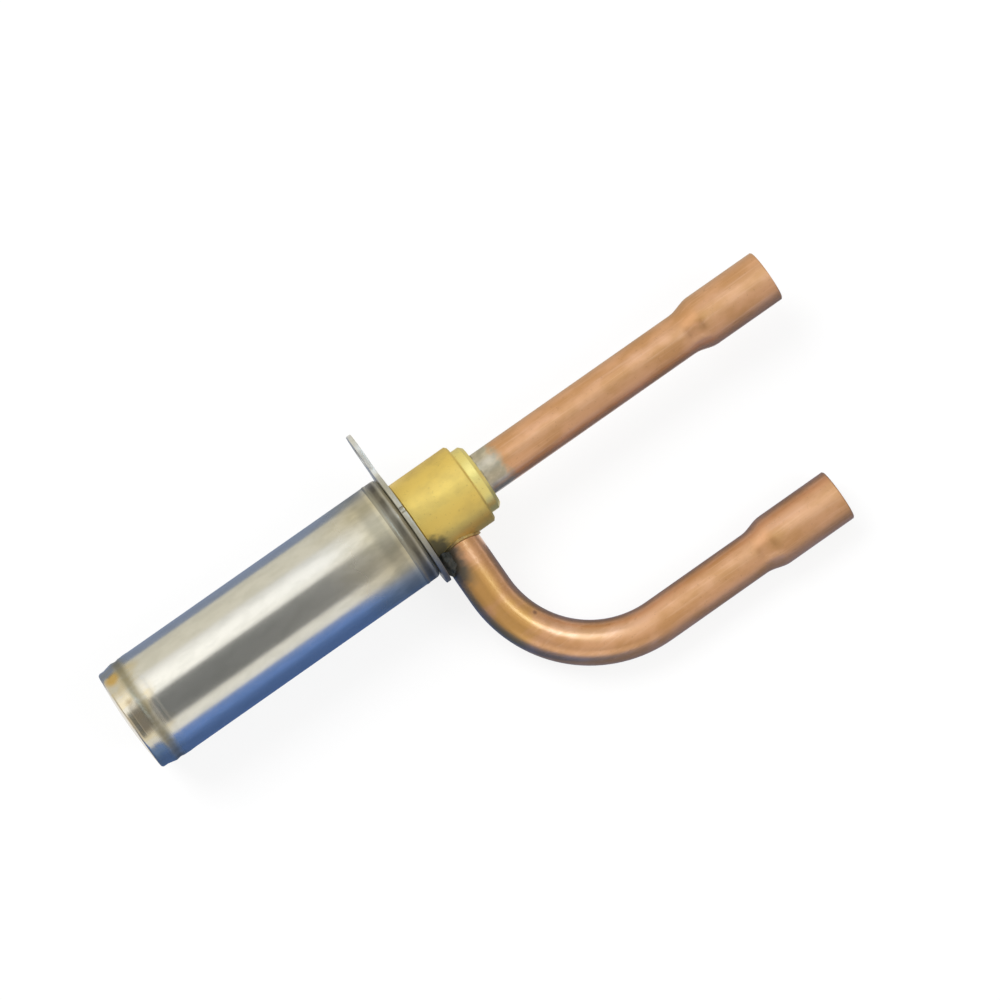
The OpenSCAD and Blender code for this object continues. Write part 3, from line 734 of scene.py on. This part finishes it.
turn_once(crown, CROWN_SIDES)
make_piece(crown, "plug_crown", "can_steel")
print("crown radius", round(crown_r, 2), "mm, rise", CROWN_RISE, "mm")

# %% [markdown]
# ## Punched bracket
# A punch rounds the edge where it enters the sheet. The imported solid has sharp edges, so a copy of
# its mesh is merged, its flat faces joined, and the long edges bevelled.

# %% Bracket with rounded edges
PACKED_TOUCHING = 2e-6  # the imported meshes' corners are a little looser, in metres
LEVEL, SHARP = math.radians(0.5), math.radians(60)
PUNCH_ROUNDING = 0.11


def merged_copy(node_name):
    bm = bmesh.new()
    bm.from_mesh(NODES[node_name].data)
    bmesh.ops.remove_doubles(bm, verts=bm.verts, dist=PACKED_TOUCHING)
    bmesh.ops.dissolve_limit(bm, angle_limit=LEVEL, verts=bm.verts, edges=bm.edges)
    return bm


sheet = merged_copy("coil_bracket")
rims = [edge for edge in sheet.edges if edge.calc_face_angle(0.0) > SHARP]
bmesh.ops.bevel(sheet, geom=rims, offset=PUNCH_ROUNDING * MM, offset_type="OFFSET", segments=3,
                profile=0.5, affect="EDGES", material=-1, clamp_overlap=True)
make_piece(sheet, "punched_bracket", "bracket_steel", ["coil_bracket"])

# %% [markdown]
# ## Flux crust
# Flux ran into the narrow gap between the bracket and the bent tube and stayed there. A lump is a
# ball squeezed flat between the two, tilted with the tube and roughened by noise.

# %% Crust in the nook
CRUST_PLACE = Vector((3.9, -6.9, -0.4))
CRUST_REACH = (1.38, 2.4, 2.2)
LEG_SLOPE = 0.18
BUMPS, PIMPLES = (0.16, 2.2), (0.05, 7.0)  # share of the lump's size, and how close together
crust = bmesh.new()
bmesh.ops.create_icosphere(crust, subdivisions=5, radius=1.0)
for vert in crust.verts:
    lumpy = 1.0 + sum(share * noise.noise(vert.co * density) for share, density in (BUMPS, PIMPLES))
    lump = Vector([c * r * lumpy for c, r in zip(vert.co, CRUST_REACH)])
    lump.z += LEG_SLOPE * lump.y
    vert.co = (CRUST_PLACE + lump) * MM
make_piece(crust, "flux_crust", "burnt_flux")

# %% [markdown]
# ## Cut thread on the guide bush
# Inside the can the rotor climbs a fine screw on the guide bush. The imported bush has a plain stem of
# the screw's outer size, so its copy is first cut across and turned down to the root of the thread.

# %% Bush turned down
ROOT = 2.66
RUN_OUT_X, RUN_OUT = -7.45, 0.2
STEM_WIDER_THAN = 2.8

bush = merged_copy("guide_bush")
for cut_x in (RUN_OUT_X, RUN_OUT_X - RUN_OUT):
    bmesh.ops.bisect_plane(bush, geom=bush.verts[:] + bush.edges[:] + bush.faces[:], dist=TOUCHING,
                           plane_co=(cut_x * MM, 0, 0), plane_no=(1, 0, 0))
stem = [vert for vert in bush.verts if vert.co.x < (RUN_OUT_X - RUN_OUT / 2) * MM]
turned = [vert for vert in stem if math.hypot(vert.co.y, vert.co.z) > STEM_WIDER_THAN * MM]
for vert in turned:
    pull_to(vert, ROOT * MM)
print("corners turned down:", len(turned))

# %% [markdown]
# ## The tooth of the thread
# One small tooth is swept up the stem: a spin that also moves along its axis makes a screw. Its foot is
# sunk into the stem, and its two ends rise slowly out of the stem, as a cut thread does. The crest
# stays below the plain stem's size, so it keeps clear of the holder that turns round it.

# %% Threaded bush
CREST, PITCH = 2.985, 0.6
TURNS, STEPS_PER_TURN = 9.5, 64
START_X = -13.68
END_X = START_X + TURNS * PITCH
FOOT_HALF, TOP_HALF, FOOT = 0.27, 0.05, ROOT - 0.06
LEAD_IN, LEAD_IN_R = 0.2, ROOT - 0.04

tooth = bmesh.new()
flank = [(-FOOT_HALF, FOOT), (-TOP_HALF, CREST), (TOP_HALF, CREST), (FOOT_HALF, FOOT)]
corners = [tooth.verts.new(((START_X + x) * MM, r * MM, 0)) for x, r in flank]
for first, second in zip(corners, corners[1:] + corners[:1]):
    tooth.edges.new((first, second))
bmesh.ops.spin(tooth, geom=tooth.verts[:] + tooth.edges[:], angle=TURNS * math.tau,
               steps=round(TURNS * STEPS_PER_TURN), dvec=(PITCH * MM / STEPS_PER_TURN, 0, 0), **AXIS)
bmesh.ops.holes_fill(tooth, edges=[edge for edge in tooth.edges if edge.is_boundary], sides=4)
for vert in tooth.verts:
    if math.hypot(vert.co.y, vert.co.z) > ROOT * MM:
        from_end = min(vert.co.x / MM - START_X, END_X - vert.co.x / MM) + TOP_HALF
        grown = min(1.0, max(0.0, from_end / LEAD_IN))
        pull_to(vert, (LEAD_IN_R + (CREST - LEAD_IN_R) * grown) * MM)
tooth_mesh = bpy.data.meshes.new("tooth")
bmesh.ops.recalc_face_normals(tooth, faces=tooth.faces)
tooth.to_mesh(tooth_mesh)
tooth.free()
bush.from_mesh(tooth_mesh)
bpy.data.meshes.remove(tooth_mesh)
make_piece(bush, "threaded_bush", SLOT_OF["guide_bush"], ["guide_bush"])
